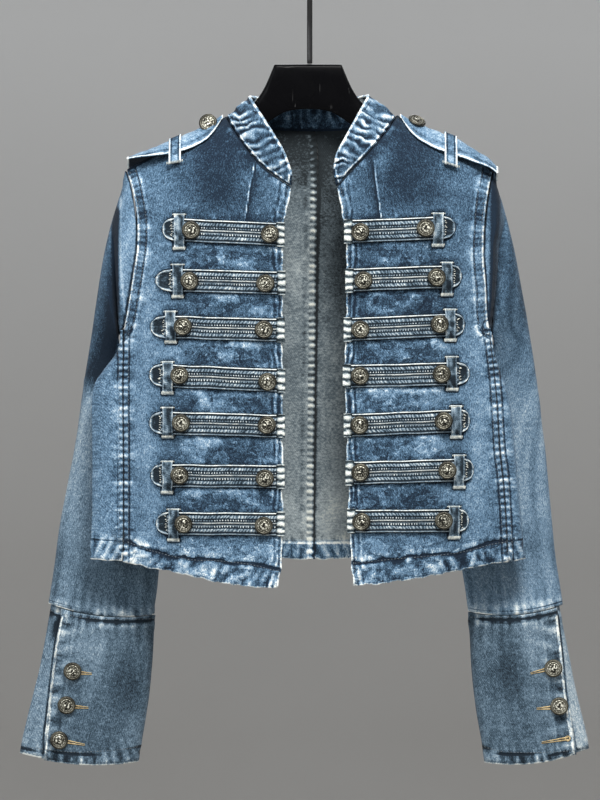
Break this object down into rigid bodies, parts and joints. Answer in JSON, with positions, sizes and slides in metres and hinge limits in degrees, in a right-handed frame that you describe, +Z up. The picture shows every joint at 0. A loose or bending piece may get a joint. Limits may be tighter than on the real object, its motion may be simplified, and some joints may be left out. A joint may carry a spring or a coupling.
{
  "type": "denim jacket on hanger",
  "caption": "Cropped denim jacket with stand collar, epaulettes, ribbed frogging straps and domed buttons, hung open on a plain hanger.",
  "frame": {"origin": "inside of the hook's crown, where a rail carries the hanger", "axes": "+Z up along the hanger's stem, -Y the way the fronts face, +X to the wearer's left"},
  "size_m": [0.5647, 0.1239, 0.8054],
  "materials": {
    "denim": "stone-washed mid-blue denim, matt",
    "denim_strap": "ribbed stone-washed denim, matt",
    "button_metal": "antique brass, worn",
    "hanger_plastic": "glossy black with fine scratches",
    "hook_metal": "black satin"
  },
  "bodies": {
    "root": {"front_right": "denim", "back_right": "denim", "sleeve_right": "denim", "cuff_right": "denim", "epaulette_right": "denim", "frog_right_1": "denim_strap", "frog_right_1_button_inner": "button_metal", "frog_right_1_button_outer": "button_metal", "frog_right_2": "denim_strap", "frog_right_2_button_inner": "button_metal", "frog_right_2_button_outer": "button_metal", "frog_right_3": "denim_strap", "frog_right_3_button_inner": "button_metal", "frog_right_3_button_outer": "button_metal", "frog_right_4": "denim_strap", "frog_right_4_button_inner": "button_metal", "frog_right_4_button_outer": "button_metal", "frog_right_5": "denim_strap", "frog_right_5_button_inner": "button_metal", "frog_right_5_button_outer": "button_metal", "frog_right_6": "denim_strap", "frog_right_6_button_inner": "button_metal", "frog_right_6_button_outer": "button_metal", "frog_right_7": "denim_strap", "frog_right_7_button_inner": "button_metal", "frog_right_7_button_outer": "button_metal", "front_left": "denim", "back_left": "denim", "sleeve_left": "denim", "cuff_left": "denim", "epaulette_left": "denim", "frog_left_1": "denim_strap", "frog_left_1_button_inner": "button_metal", "frog_left_1_button_outer": "button_metal", "frog_left_2": "denim_strap", "frog_left_2_button_inner": "button_metal", "frog_left_2_button_outer": "button_metal", "frog_left_3": "denim_strap", "frog_left_3_button_inner": "button_metal", "frog_left_3_button_outer": "button_metal", "frog_left_4": "denim_strap", "frog_left_4_button_inner": "button_metal", "frog_left_4_button_outer": "button_metal", "frog_left_5": "denim_strap", "frog_left_5_button_inner": "button_metal", "frog_left_5_button_outer": "button_metal", "frog_left_6": "denim_strap", "frog_left_6_button_inner": "button_metal", "frog_left_6_button_outer": "button_metal", "frog_left_7": "denim_strap", "frog_left_7_button_inner": "button_metal", "frog_left_7_button_outer": "button_metal", "cuff_right_button_1": "button_metal", "cuff_right_button_2": "button_metal", "cuff_right_button_3": "button_metal", "cuff_left_button_1": "button_metal", "cuff_left_button_2": "button_metal", "collar": "denim", "hanger_body": "hanger_plastic", "hanger_hook": "hook_metal"}
  },
  "joints": []
}
